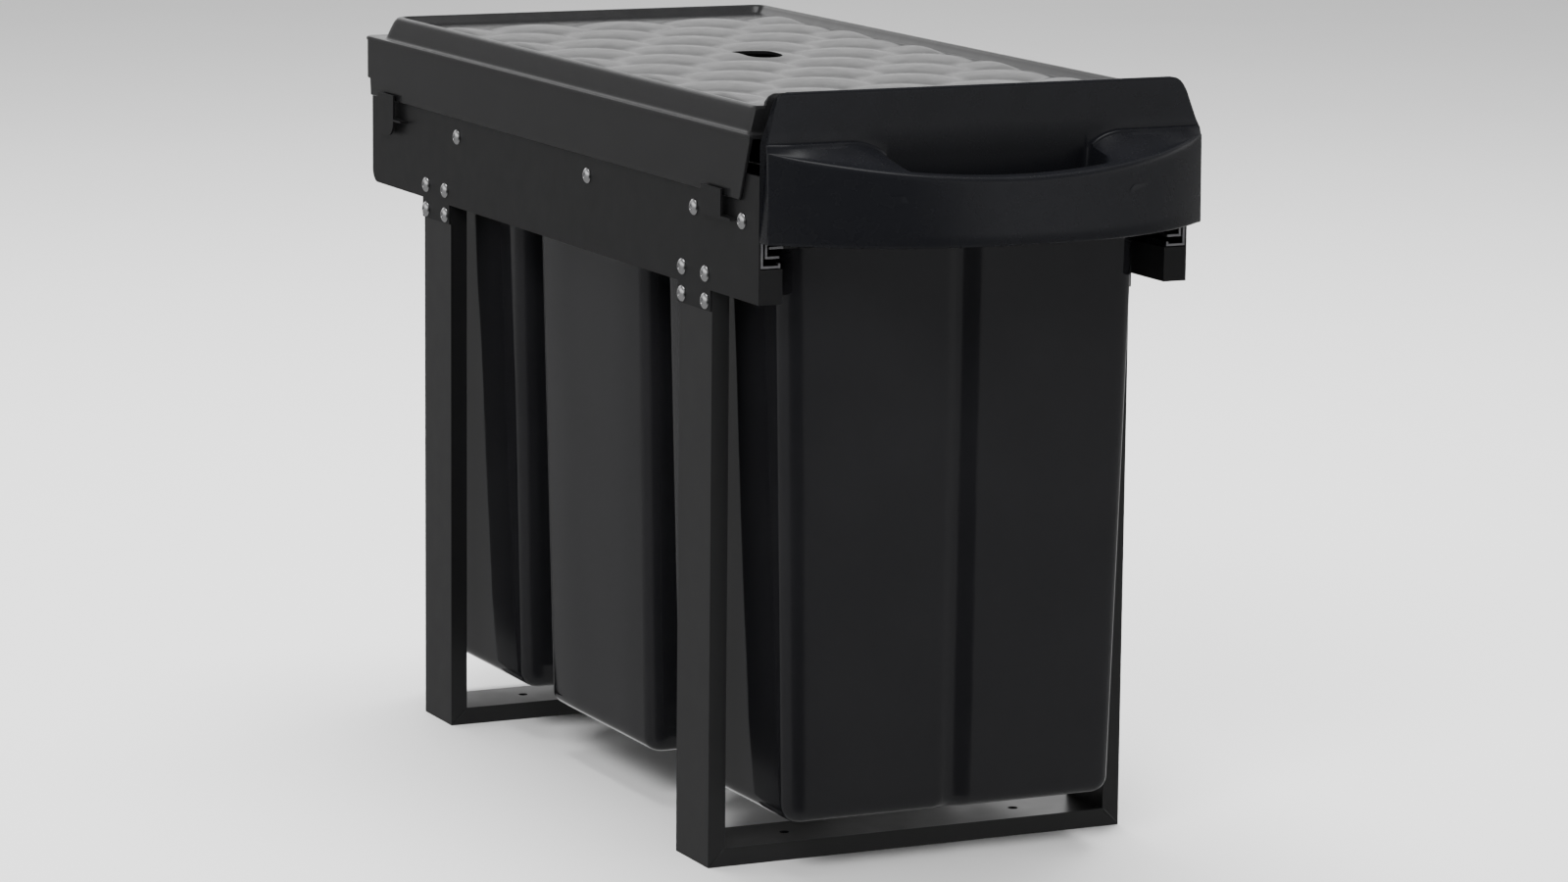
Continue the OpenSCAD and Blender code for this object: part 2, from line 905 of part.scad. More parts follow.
module lid() {
    color("#2c2c2e")
        difference() {
            union() {
                difference() {
                    crown(0, ridge_z);
                    crown(lid_wall, ridge_z - field_depth - lid_wall);
                    crown_field();
                }
                difference() {
                    block([-lid_out, lid_front, skirt_top - eps], [lid_out, lid_rear, ledge_z]);
                    block([-crown_half + lid_wall, lid_front - 1, skirt_top - 1],
                          [crown_half - lid_wall, crown_rear - lid_wall, ledge_z + 1]);
                }
                block([-front_lip_half, crown_front, ridge_z - field_depth],
                      [front_lip_half, crown_front + ridge_w, ridge_z + front_lip_rise]);
                block([-lid_out, lid_rear - lid_wall, rail_top - skirt_drop + rear_skirt_lift],
                      [lid_out, lid_rear, skirt_top]);
                left_and_right() {
                    side_skirt();
                    lid_ribs();
                }
            }
            translate([0, lid_mid_y, skirt_top])
                linear_extrude(lid_rise)
                    round_rect(slot_w / 2, slot_l / 2, slot_w / 2 - 0.5);
        }
}

front_leg_frame();
rear_leg_frame();
left_side_rail();
right_side_rail();
leg_rivets();
slide_rivets();
left_cabinet_member();
right_cabinet_member();
slide_bumpers();
left_middle_member();
right_middle_member();
left_outer_cage();
right_outer_cage();
left_outer_balls();
right_outer_balls();
left_inner_cage();
right_inner_cage();
left_inner_balls();
right_inner_balls();
left_drawer_member();
right_drawer_member();
drawer_screws();
bucket_carrier();
front_bracket();
front_panel();
panel_screws();
front_bucket();
middle_bucket();
rear_bucket();
lid();
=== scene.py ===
import math

import bmesh
import bpy
from mathutils import Matrix, Vector


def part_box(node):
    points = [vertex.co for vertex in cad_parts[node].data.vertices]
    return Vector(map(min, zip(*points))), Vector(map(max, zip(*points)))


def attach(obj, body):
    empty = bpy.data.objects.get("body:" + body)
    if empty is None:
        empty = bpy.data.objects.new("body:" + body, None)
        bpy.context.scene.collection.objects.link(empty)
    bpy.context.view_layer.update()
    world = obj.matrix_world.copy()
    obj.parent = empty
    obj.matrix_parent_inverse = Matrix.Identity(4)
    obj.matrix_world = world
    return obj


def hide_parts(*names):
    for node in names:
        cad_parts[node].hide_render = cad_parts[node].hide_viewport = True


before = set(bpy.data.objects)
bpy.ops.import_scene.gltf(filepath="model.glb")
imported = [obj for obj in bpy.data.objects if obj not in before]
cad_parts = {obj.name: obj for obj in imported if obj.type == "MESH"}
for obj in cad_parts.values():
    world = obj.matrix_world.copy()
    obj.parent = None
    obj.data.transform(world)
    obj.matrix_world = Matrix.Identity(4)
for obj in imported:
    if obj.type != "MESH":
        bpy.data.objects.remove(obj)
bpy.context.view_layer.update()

# Looks of the pull-out waste bin. Lengths in this script are millimetres, in the CAD's frame;
# add_mesh() turns them into metres. Smooth moulded parts are rebuilt here, and the folded and
# drawn metal parts stay as CAD nodes with rounded edges. The lights and the camera are placed in
# metres.

MM = 0.001
SHARP_ANGLE = math.radians(38)


def node_box(node):
    """Lowest and highest corners of a CAD node, in millimetres."""
    low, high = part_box(node)
    return low / MM, high / MM


def smoothstep(t):
    t = min(max(t, 0.0), 1.0)
    return t * t * (3 - 2 * t)


def mix(a, b, t):
    return a + (b - a) * t


# ---- meshes ----

def add_mesh(name, verts, faces):
    """A mesh object from points in millimetres, with its normals outward."""
    mesh = bpy.data.meshes.new(name)
    mesh.from_pydata([[c * MM for c in v] for v in verts], [], faces)
    work = bmesh.new()
    work.from_mesh(mesh)
    bmesh.ops.remove_doubles(work, verts=work.verts, dist=1e-6)
    bmesh.ops.recalc_face_normals(work, faces=work.faces)
    work.to_mesh(mesh)
    work.free()
    piece = bpy.data.objects.new(name, mesh)
    bpy.context.collection.objects.link(piece)
    return piece


def dress(piece, body, slot_name, nodes=(), finish=None):
    """Gives a piece its body and its material, and hides the CAD nodes that it stands for."""
    piece.data.materials.clear()
    piece.data.materials.append(FINISHES[finish or slot_name])
    piece.data.shade_smooth()
    piece.data.set_sharp_from_angle(angle=SHARP_ANGLE)
    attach(piece, body)
    if nodes:
        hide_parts(*nodes)


def bake_modifiers(piece):
    """Applies a piece's modifiers to its mesh."""
    bpy.context.view_layer.update()
    graph = bpy.context.evaluated_depsgraph_get()
    mesh = bpy.data.meshes.new_from_object(piece.evaluated_get(graph))
    piece.modifiers.clear()
    piece.data = mesh


def skin(rings, start_cap=True, end_cap=True):
    """Points and faces of a skin over rings that all have the same number of points."""
    count = len(rings[0])
    verts = [point for ring in rings for point in ring]
    faces = []
    for k in range(len(rings) - 1):
        for i in range(count):
            j = (i + 1) % count
            faces.append((k * count + i, k * count + j, (k + 1) * count + j, (k + 1) * count + i))
    if start_cap:
        faces.append(tuple(reversed(range(count))))
    if end_cap:
        faces.append(tuple(range((len(rings) - 1) * count, len(rings) * count)))
    return verts, faces


def join_parts(parts):
    """One list of points and faces from several."""
    verts, faces = [], []
    for part_verts, part_faces in parts:
        shift = len(verts)
        verts += part_verts
        faces += [tuple(i + shift for i in face) for face in part_faces]
    return verts, faces


def arc(centre_a, centre_b, radius, start, end, steps):
    """Points on a circular arc in a plane, from start to end degrees."""
    turns = [math.radians(mix(start, end, i / steps)) for i in range(steps + 1)]
    return [(centre_a + radius * math.cos(t), centre_b + radius * math.sin(t)) for t in turns]


LATHE_SEGMENTS = 28


def lathe(profile, centre, axis_sign):
    """A solid turned about the X axis. The profile is (radius, distance outwards)."""
    cx, cy, cz = centre
    turns = [2 * math.pi * i / LATHE_SEGMENTS for i in range(LATHE_SEGMENTS)]
    rings = []
    for radius, out in profile:
        rings.append([(cx + axis_sign * out, cy + radius * math.cos(t), cz + radius * math.sin(t))
                      for t in turns])
    return skin(rings)


def soft_block(low, high, edge):
    """A block with rounded upright edges and chamfered ends."""
    lx, ly, lz = low
    hx, hy, hz = high
    rings = []
    for z, inset in ((lz, edge), (lz + edge, 0), (hz - edge, 0), (hz, edge)):
        x0, x1, y0, y1 = lx + inset, hx - inset, ly + inset, hy - inset
        ring = []
        for ax, ay, start in ((x1 - edge, y1 - edge, 0), (x0 + edge, y1 - edge, 90),
                              (x0 + edge, y0 + edge, 180), (x1 - edge, y0 + edge, 270)):
            ring += [(x, y, z) for x, y in arc(ax, ay, edge, start, start + 90, 3)]
        rings.append(ring)
    return skin(rings)


# ---- materials ----

class Shader:
    """A new material and short ways to add nodes to it."""

    def __init__(self, name, **settings):
        self.material = bpy.data.materials.new(name)
        self.material.use_nodes = True
        self.tree = self.material.node_tree
        self.surface = self.tree.nodes["Principled BSDF"]
        for socket, value in settings.items():
            self.surface.inputs[socket.replace("_", " ")].default_value = value
        self.place = self.tree.nodes.new("ShaderNodeTexCoord").outputs["Object"]

    def node(self, kind, **settings):
        made = self.tree.nodes.new(kind)
        for key, value in settings.items():
            setattr(made, key, value)
        return made

    def link(self, source, target):
        self.tree.links.new(source, target)

    def noise(self, scale, detail=3.0, stretch=(1, 1, 1), roughness=0.5):
        """Noise over the object's own space; scale is in waves per metre."""
        mapping = self.node("ShaderNodeMapping")
        mapping.inputs["Scale"].default_value = stretch
        self.link(self.place, mapping.inputs["Vector"])
        made = self.node("ShaderNodeTexNoise")
        made.inputs["Scale"].default_value = scale
        made.inputs["Detail"].default_value = detail
        made.inputs["Roughness"].default_value = roughness
        self.link(mapping.outputs["Vector"], made.inputs["Vector"])
        return made.outputs["Fac"]

    def ranged(self, value, low, high, source_low=0.3, source_high=0.7):
        """Maps a value from its source range, which suits noise, to low .. high."""
        made = self.node("ShaderNodeMapRange")
        for socket, number in (("From Min", source_low), ("From Max", source_high),
                               ("To Min", low), ("To Max", high)):
            made.inputs[socket].default_value = number
        self.link(value, made.inputs["Value"])
        return made.outputs["Result"]

    def blend(self, factor, first, second):
        """A mix of two colours; each is three numbers or a node's output."""
        made = self.node("ShaderNodeMix", data_type="RGBA")
        for socket, colour in (("A", first), ("B", second)):
            if isinstance(colour, tuple):
                made.inputs[socket].default_value = (*colour, 1)
            else:
                self.link(colour, made.inputs[socket])
        self.link(factor, made.inputs["Factor"])
        return made.outputs["Result"]

    def colour(self, output):
        self.link(output, self.surface.inputs["Base Color"])

    def roughness(self, output):
        self.link(output, self.surface.inputs["Roughness"])

    def bumps(self, *layers):
        """Stacks bumps; each layer is a height output and its depth in millimetres."""
        normal = None
        for height, depth in layers:
            made = self.node("ShaderNodeBump")
            made.inputs["Strength"].default_value = 1.0
            made.inputs["Distance"].default_value = depth * MM
            self.link(height, made.inputs["Height"])
            if normal is not None:
                self.link(normal, made.inputs["Normal"])
            normal = made.outputs["Normal"]
        self.link(normal, self.surface.inputs["Normal"])

    def worn_edges(self, radius_mm):
        """0 on flat faces and up to 1 along convex edges."""
        bevel = self.node("ShaderNodeBevel", samples=4)
        bevel.inputs["Radius"].default_value = radius_mm * MM
        geometry = self.node("ShaderNodeNewGeometry")
        dot = self.node("ShaderNodeVectorMath", operation="DOT_PRODUCT")
        self.link(bevel.outputs["Normal"], dot.inputs[0])
        self.link(geometry.outputs["Normal"], dot.inputs[1])
        return self.ranged(dot.outputs["Value"], 1.0, 0.0, 0.72, 0.985)


def powder_coat(name="powder_coat", specular=0.31):
    s = Shader(name, IOR=1.5, Specular_IOR_Level=specular)
    s.colour(s.blend(s.noise(38), (0.0060, 0.0060, 0.0064), (0.0076, 0.0076, 0.0080)))
    peel = s.noise(640, 2.0)
    grit = s.noise(2300, 1.0)
    s.roughness(s.ranged(s.noise(70, 4.0), 0.33, 0.37))
    s.bumps((peel, 0.020), (grit, 0.006))
    return s.material


def leg_coat():
    """The legs' coat has a little more sheen than the rails'."""
    return powder_coat("leg_coat", 0.78)


def bucket_plastic():
    s = Shader("bucket_plastic", IOR=1.49, Specular_IOR_Level=0.64)
    s.colour(s.blend(s.noise(16, 2.0), (0.0052, 0.0052, 0.0060), (0.0085, 0.0085, 0.0094)))
    swirl = s.noise(9, 2.0, (1, 1, 0.55))
    scuffs = s.noise(420, 3.0, (1, 1, 0.05))
    s.roughness(s.ranged(scuffs, 0.055, 0.10, 0.45, 0.75))
    s.bumps((swirl, 1.1), (s.noise(300, 2.0), 0.0006))
    return s.material


def lid_plastic():
    s = Shader("lid_plastic", IOR=1.5, Specular_IOR_Level=0.39)
    s.colour(s.blend(s.noise(30), (0.0075, 0.0075, 0.0079), (0.0100, 0.0100, 0.0104)))
    grain = s.noise(1500, 2.0)
    s.roughness(s.ranged(s.noise(120, 4.0), 0.20, 0.27))
    s.bumps((s.noise(26, 1.0), 0.06), (grain, 0.004))
    return s.material


def panel_plastic():
    s = Shader("panel_plastic", IOR=1.49, Specular_IOR_Level=0.25)
    s.colour(s.blend(s.noise(24), (0.0052, 0.0054, 0.0067), (0.0070, 0.0073, 0.0089)))
    pits = s.node("ShaderNodeTexVoronoi", feature="F1")
    pits.inputs["Scale"].default_value = 1300
    s.link(s.place, pits.inputs["Vector"])
    s.roughness(s.ranged(s.noise(90, 4.0), 0.23, 0.30))
    s.bumps((s.noise(18, 1.0), 0.10), (pits.outputs["Distance"], 0.003))
    return s.material


def bright_steel():
    s = Shader("bright_steel", Metallic=1.0)
    s.colour(s.blend(s.noise(900), (0.70, 0.70, 0.71), (0.88, 0.88, 0.89)))
    turned = s.noise(2600, 2.0, (0.2, 1, 1))
    s.roughness(s.ranged(turned, 0.16, 0.26))
    s.bumps((turned, 0.003))
    return s.material


CUT_END = 0.7
CUT_FADE = 0.2


def black_zinc():
    """Dark plated steel, bare where the slide members are cut off at their front ends."""
    s = Shader("black_zinc", Metallic=0.85)
    front = node_box("left_cabinet_member")[0].y
    along = s.node("ShaderNodeSeparateXYZ")
    s.link(s.place, along.inputs[0])
    bare = s.ranged(along.outputs["Y"], 1.0, 0.0, (front + CUT_END) * MM,
                    (front + CUT_END + CUT_FADE) * MM)
    drawn = s.noise(1500, 3.0, (1, 0.03, 1))
    plated = s.blend(drawn, (0.020, 0.020, 0.021), (0.034, 0.034, 0.036))
    worn = s.blend(s.worn_edges(0.35), plated, (0.34, 0.34, 0.35))
    s.colour(s.blend(bare, worn, (0.26, 0.26, 0.27)))
    s.roughness(s.ranged(drawn, 0.28, 0.42))
    s.bumps((drawn, 0.012))
    return s.material


def rubber():
    s = Shader("rubber", IOR=1.5, Specular_IOR_Level=0.3)
    s.colour(s.blend(s.noise(200), (0.010, 0.010, 0.010), (0.018, 0.018, 0.018)))
    s.roughness(s.ranged(s.noise(400), 0.68, 0.82))
    s.bumps((s.noise(1800, 2.0), 0.03))
    return s.material


FINISHES = {make.__name__: make()
            for make in (powder_coat, leg_coat, bucket_plastic, lid_plastic, panel_plastic,
                         bright_steel, black_zinc, rubber)}

# ---- CAD nodes that stay: folded sheet, tube, slide members, cages, balls and screws ----

SIDES = ("left", "right")
KEPT_NODES = {
    "powder_coat": ["bucket_carrier", "front_bracket"] + [side + "_side_rail" for side in SIDES],
    "leg_coat": ["front_leg_frame", "rear_leg_frame"],
    "black_zinc": (["drawer_screws", "panel_screws"]
                   + [side + part for side in SIDES
                      for part in ("_cabinet_member", "_middle_member", "_drawer_member")]),
    "bright_steel": [side + part for side in SIDES
                     for part in ("_outer_cage", "_inner_cage", "_outer_balls", "_inner_balls")],
    "rubber": ["slide_bumpers"],
}
ROUNDED = {"front_leg_frame": 1.6, "rear_leg_frame": 1.6, "left_side_rail": 0.45,
           "right_side_rail": 0.45, "bucket_carrier": 0.45, "front_bracket": 0.4}
EDGE_ANGLE = math.radians(35)
FLAT_ANGLE = math.radians(1)
WELD_DISTANCE = 0.01
BEVEL_SEGMENTS = 3


def round_edges(piece, width):
    """Rounds the sharp edges of a CAD node with modifiers; its mesh stays as it is."""
    weld = piece.modifiers.new("weld", "WELD")
    weld.merge_threshold = WELD_DISTANCE * MM
    flat = piece.modifiers.new("flat", "DECIMATE")
    flat.decimate_type = "DISSOLVE"
    flat.angle_limit = FLAT_ANGLE
    bevel = piece.modifiers.new("bevel", "BEVEL")
    bevel.width = width * MM
    bevel.segments = BEVEL_SEGMENTS
    bevel.limit_method = "ANGLE"
    bevel.angle_limit = EDGE_ANGLE
    bevel.harden_normals = True


for finish, node_names in KEPT_NODES.items():
    for node_name in node_names:
        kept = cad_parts[node_name]
        for material_slot in kept.material_slots:
            material_slot.material = FINISHES[finish]
        if node_name in ROUNDED:
            round_edges(kept, ROUNDED[node_name])

# ---- mitre seams of the leg frames ----

TUBE_T = 10.0
SEAM_HALF_W = 0.8
SEAM_RISE = 0.22
SEAM_OUTER_INSET = 1.0
SEAM_INNER_INSET = 0.6
# (place along the seam, share of its width, share of its rise)
SEAM_STATIONS = ((0.0, 0.2, 0.05), (0.08, 1.0, 1.0), (0.92, 1.0, 1.0), (1.0, 0.2, 0.05))
# (share of the half width, share of the rise) round the bead
SEAM_SECTION = ((-1, -0.5), (-0.75, 0.55), (-0.3, 0.95), (0.3, 0.95), (0.75, 0.55), (1, -0.5))


def mitre_seam(corner, inner, face_y, out):
    """A low bead on a tube's side face, from its outer corner to its inner one."""
    start, end = Vector(corner), Vector(inner)
    along = (end - start).normalized()
    side = Vector((-along.y, along.x))
    rings = []
    for t, width, rise in SEAM_STATIONS:
        middle = start.lerp(end, t)
        ring = []
        for across, lift in SEAM_SECTION:
            point = middle + side * (across * SEAM_HALF_W * width)
            ring.append((point.x, face_y + out * SEAM_RISE * lift * rise, point.y))
        rings.append(ring)
    return skin(rings)


def mitre_seams():
    parts = []
    for node in ("front_leg_frame", "rear_leg_frame"):
        low, high = node_box(node)
        for side in (-1, 1):
            corner = (side * (high.x - SEAM_OUTER_INSET), low.z + SEAM_OUTER_INSET)
            inner = (side * (high.x - TUBE_T + SEAM_INNER_INSET),
                     low.z + TUBE_T - SEAM_INNER_INSET)
            parts.append(mitre_seam(corner, inner, low.y, -1))
            parts.append(mitre_seam(corner, inner, high.y, 1))
    dress(add_mesh("leg_mitre_seams", *join_parts(parts)), "frame", "powder_coat",
          finish="leg_coat")


mitre_seams()

# ---- rivets ----

HEAD_R = 4.5
HEAD_H = 2.2
# (radius, distance out from the sheet) from the hidden shank to the crown, and into the
# hollow where the broken mandrel sits
RIVET_PROFILE = [(2.3, -1.2), (2.3, 0.0), (4.25, 0.0), (4.5, 0.25), (4.42, 0.62), (4.1, 1.05),
                 (3.6, 1.45), (3.0, 1.8), (2.4, 2.05), (1.85, 2.18), (1.62, 2.14), (1.5, 1.95),
                 (1.45, 1.15), (1.15, 1.1), (1.05, 1.3), (0.8, 1.5), (0.35, 1.55)]


def rivets(name, node, heights, lengthways):
    """A set of rivets on both rails, in the places of the CAD node's own."""
    face = node_box(node)[1].x - HEAD_H
    parts = []
    for side in (-1, 1):
        for y in lengthways:
            for z in heights:
                parts.append(lathe(RIVET_PROFILE, (side * face, y, z), side))
    dress(add_mesh(name, *join_parts(parts)), "frame", "bright_steel", [node])


# distance between the two columns of rivets at a leg, and of the second and third slide rivet
# from the first
LEG_RIVET_SPACING = 29.6
SLIDE_RIVET_OFFSETS = (60.5, 203.5)


def all_rivets():
    low, high = node_box("leg_rivets")
    outer = high.y - HEAD_R
    inner = outer - LEG_RIVET_SPACING
    rivets("leg_rivet_heads", "leg_rivets", (low.z + HEAD_R, high.z - HEAD_R),
           (-outer, -inner, inner, outer))
    low, high = node_box("slide_rivets")
    first, last = low.y + HEAD_R, high.y - HEAD_R
    rivets("slide_rivet_heads", "slide_rivets", ((low.z + high.z) / 2,),
           (first, *(first + offset for offset in SLIDE_RIVET_OFFSETS), last))


all_rivets()

# ---- buckets ----

RIM_OVER = 5.0
RIM_H = 6.0
BUCKET_WALL = 1.8
DRAFT_X = 0.024
DRAFT_Y = 0.012
CORNER_R = 11.0
BOTTOM_R = 8.5
GROOVE_HALF_W = 11.0
GROOVE_DEPTH = 3.2
FOOT_INSET = 16.0
FOOT_RISE = 2.5
GROOVE_STATIONS = [1.1 * i for i in range(-12, 13)]
CORNER_STEPS = 8
LEAST_CORNER_R = 3.0
BOTTOM_TURN = 15
# places up the bucket's wall, as shares of its height between the bottom's curve and the rim
CLIMB = (0.12, 0.3, 0.5, 0.7, 0.85, 0.95, 1.0)
CLIMB_END = 14.0


def groove_shape(x):
    """Share of the groove's depth at a distance from its middle."""
    if abs(x) >= GROOVE_HALF_W:
        return 0.0
    return 0.5 * (1 + math.cos(math.pi * x / GROOVE_HALF_W))


def bucket_ring(half_x, half_y, radius, z, groove):
    """A level ring of the bucket: a rounded rectangle, grooved down its front and its back."""
    flat_x, flat_y = half_x - radius, half_y - radius
    spread = [-flat_x, -flat_x * 0.7, -flat_x * 0.4, *GROOVE_STATIONS,
              flat_x * 0.4, flat_x * 0.7, flat_x]
    ring = [(x, -half_y + groove * groove_shape(x), z) for x in spread]
    ring += [(x, y, z) for x, y in arc(flat_x, -flat_y, radius, -90, 0, CORNER_STEPS)[1:]]
    ring += [(half_x, flat_y * t, z) for t in (-0.5, 0.0, 0.5)]
    ring += [(x, y, z) for x, y in arc(flat_x, flat_y, radius, 0, 90, CORNER_STEPS)]
    ring += [(x, half_y - groove * groove_shape(x), z) for x in reversed(spread[:-1])]
    ring += [(x, y, z) for x, y in arc(-flat_x, flat_y, radius, 90, 180, CORNER_STEPS)[1:]]
    ring += [(-half_x, -flat_y * t, z) for t in (-0.5, 0.0, 0.5)]
    ring += [(x, y, z) for x, y in arc(-flat_x, -flat_y, radius, 180, 270, CORNER_STEPS)[:-1]]
    return ring


def bottom_curve(radius, turns):
    """(inset, height) round the bucket's lower edge, by degrees from the bottom."""
    return [(radius * (1 - math.sin(math.radians(a))), radius * (1 - math.cos(math.radians(a))))
            for a in turns]


def bucket(name):
    """One bucket: outside from the foot up, over the rim, and down the inside."""
    low, high = node_box(name)
    rim_z = high.z - RIM_H
    half_x = (high.x - low.x) / 2 - RIM_OVER
    half_y = (high.y - low.y) / 2 - RIM_OVER
    centre = Vector(((low.x + high.x) / 2, (low.y + high.y) / 2, 0))

    def body_ring(z, inset, z_of_size=None, groove=1.0):
        below = rim_z - (z if z_of_size is None else z_of_size)
        return bucket_ring(half_x - below * DRAFT_X - inset, half_y - below * DRAFT_Y - inset,
                           max(CORNER_R - inset, LEAST_CORNER_R), z, GROOVE_DEPTH * groove)

    # the raised foot and the curve up to the wall
    rings = [body_ring(low.z + FOOT_RISE, FOOT_INSET + 3, low.z, 0.0),
             body_ring(low.z + FOOT_RISE, FOOT_INSET, low.z, 0.0),
             body_ring(low.z + 0.6, FOOT_INSET - 2, low.z, 0.0),
             body_ring(low.z, FOOT_INSET - 3, low.z, 0.1)]
    for inset, z in bottom_curve(BOTTOM_R, range(0, 91, BOTTOM_TURN)):
        rings.append(body_ring(low.z + z, inset, low.z + z, 0.6 if z < 1 else 1.0))
    climb = [mix(low.z + BOTTOM_R, rim_z - CLIMB_END, t) for t in CLIMB]
    rings += [body_ring(z, 0.0) for z in climb]
    # the groove runs out below the rim, and the rim turns outwards, up and over
    rings += [body_ring(rim_z - 6, 0.0, groove=0.45), body_ring(rim_z - 1, 0.0, groove=0.0),
              body_ring(high.z - BUCKET_WALL - 0.8, 0.0, rim_z, 0.0)]
    lip_x, lip_z = RIM_OVER - BUCKET_WALL, high.z - BUCKET_WALL
    rim = [(1.0, lip_z), (lip_x - 0.8, lip_z), (lip_x, lip_z - 0.8), (lip_x, rim_z + 0.5),
           (lip_x + 0.5, rim_z), (RIM_OVER - 0.5, rim_z), (RIM_OVER, rim_z + 0.5),
           (RIM_OVER, high.z - 1.8), (RIM_OVER - 0.5, high.z - 0.55), (RIM_OVER - 1.8, high.z),
           (-0.4, high.z), (-1.4, high.z - 0.5), (-BUCKET_WALL, high.z - 1.6)]
    rings += [body_ring(z, -over, rim_z, 0.0) for over, z in rim]
    # down the inside to its floor
    inner_floor = low.z + FOOT_RISE + BUCKET_WALL
    rings += [body_ring(rim_z - 1, BUCKET_WALL, groove=0.0),
              body_ring(rim_z - 8, BUCKET_WALL, groove=0.6)]
    rings += [body_ring(z, BUCKET_WALL) for z in reversed(climb[:-1])]
    turns = range(90, -1, -BOTTOM_TURN)
    for a, (inset, rise) in zip(turns, bottom_curve(BOTTOM_R - BUCKET_WALL, turns)):
        z = inner_floor + rise
        rings.append(body_ring(z, BUCKET_WALL + inset, z, 1.0 if a > BOTTOM_TURN else 0.3))
    rings.append(body_ring(inner_floor, FOOT_INSET + 3, inner_floor, 0.0))
    verts, faces = skin(rings)
    verts = [tuple(Vector(v) + centre) for v in verts]
    dress(add_mesh(name + "_shell", verts, faces), name, "bucket_plastic", [name])


for bucket_name in ("front_bucket", "middle_bucket", "rear_bucket"):
    bucket(bucket_name)

# ---- lid ----

lid_low, lid_high = node_box("lid")
LID_WALL = 1.8
FIELD_Z = lid_high.z - 11
SKIRT_TOP = lid_high.z - 22.5
CROWN_FRONT = lid_low.y + 6
CROWN_REAR = lid_high.y - 20
FIELD_HALF = lid_high.x - 15.1
FIELD_FRONT = CROWN_FRONT + 8
FIELD_REAR = CROWN_REAR - 22
LID_MID_Y = (lid_low.y + CROWN_REAR) / 2
DOME_PITCH = 56.0
DOME_ROW_PITCH = 46.5
DOME_R = 32.5
DOME_H = 3.6
DOME_FRONT_MARGIN = -6.0
DOME_REAR_MARGIN = 14.0
DOME_FADE = 9.0
SLOT_HALF_W = 11.0
SLOT_HALF_L = 19.0
GRID_STEP = 2.6
FRONT_CORNER_R = 1.8
# (how far outside the field's sides, front and rear, height, corner radius) up to the ridge,
# over it, down the leaning crown and out along the ledge
LID_RINGS = (
    (1.0, 1.0, 1.0, 0.15, 1.0), (2.2, 2.2, 2.2, 0.9, 2.0), (4.4, 4.4, 4.6, 3.4, 4.0),
    (5.6, 5.4, 6.0, 4.6, 5.0), (6.6, 6.2, 7.4, 5.0, 6.0), (7.6, 6.9, 9.2, 4.85, 7.0),
    (8.4, 7.4, 11.4, 4.1, 8.0), (8.9, 7.7, 13.6, 2.7, 8.5), (9.4, 7.9, 15.8, 0.9, 9.0),
    (10.4, 8.0, 18.6, -3.2, 9.0), (11.4, 8.0, 20.6, -7.0, 9.0), (11.7, 8.1, 21.3, -8.3, 9.0),
    (12.3, 8.4, 22.2, -8.9, 9.0), (13.2, 9.2, 24.0, -9.0, 9.0), (14.2, 13.2, 41.0, -9.0, 5.0),
    (14.8, 13.8, 41.7, -9.3, 4.6), (15.1, 14.0, 42.0, -10.0, 4.2), (15.1, 14.0, 42.0, -11.2, 4.2),
    (14.5, 13.6, 41.4, -11.7, 4.2))


def dome_height(x, y):
    """Height of the round pillows above the field's floor: the highest of the nearest domes."""
    best = 0.0
    row = round((y - LID_MID_Y) / DOME_ROW_PITCH)
    for r in (row - 1, row, row + 1):
        shift = (DOME_PITCH / 2) * (r % 2)
        column = round((x - shift) / DOME_PITCH)
        for c in (column - 1, column, column + 1):
            cx, cy = shift + c * DOME_PITCH, LID_MID_Y + r * DOME_ROW_PITCH
            if not (abs(cx) <= FIELD_HALF
                    and FIELD_FRONT + DOME_FRONT_MARGIN < cy < FIELD_REAR - DOME_REAR_MARGIN):
                continue
            away = ((x - cx) ** 2 + (y - cy) ** 2) / DOME_R ** 2
            best = max(best, DOME_H * (1 - away))
    border = min(FIELD_HALF - abs(x), y - FIELD_FRONT, FIELD_REAR - y)
    return best * smoothstep(border / DOME_FADE)


def lid_grid():
    """The field: a fine grid whose border is the first ring."""
    nx = 2 * round(FIELD_HALF / GRID_STEP)
    ny = 2 * round((FIELD_REAR - FIELD_FRONT) / GRID_STEP / 2)
    xs = [mix(-FIELD_HALF, FIELD_HALF, i / nx) for i in range(nx + 1)]
    ys = [mix(FIELD_FRONT, FIELD_REAR, j / ny) for j in range(ny + 1)]
    verts = [(x, y, FIELD_Z + dome_height(x, y)) for y in ys for x in xs]
    wide = nx + 1
    faces = [(j * wide + i, j * wide + i + 1, (j + 1) * wide + i + 1, (j + 1) * wide + i)
             for j in range(ny) for i in range(nx)]
    border = ([i for i in range(nx)] + [j * wide + nx for j in range(ny)]
              + [ny * wide + i for i in range(nx, 0, -1)] + [j * wide for j in range(ny, 0, -1)])
    return verts, faces, border


def lid_ring_point(point, ring):
    """Moves a point of the field's border out to one of the lid's rings."""
    side, front, rear, rise, radius = ring
    mid_y = (FIELD_FRONT + FIELD_REAR) / 2
    u = point[0] / FIELD_HALF
    v = (point[1] - FIELD_FRONT) / (FIELD_REAR - FIELD_FRONT)
    half = FIELD_HALF + side
    x = u * half
    y = mix(FIELD_FRONT - front, FIELD_REAR + rear, v)
    if point[1] < mid_y:
        radius = min(radius, FRONT_CORNER_R)
    inner_x = min(max(x, -half + radius), half - radius)
    inner_y = min(max(y, FIELD_FRONT - front + radius), FIELD_REAR + rear - radius)
    out = Vector((x - inner_x, y - inner_y))
    if abs(out.x) > 1e-6 and abs(out.y) > 1e-6:
        out = out.normalized() * radius
        x, y = inner_x + out.x, inner_y + out.y
    return (x, y, FIELD_Z + rise)


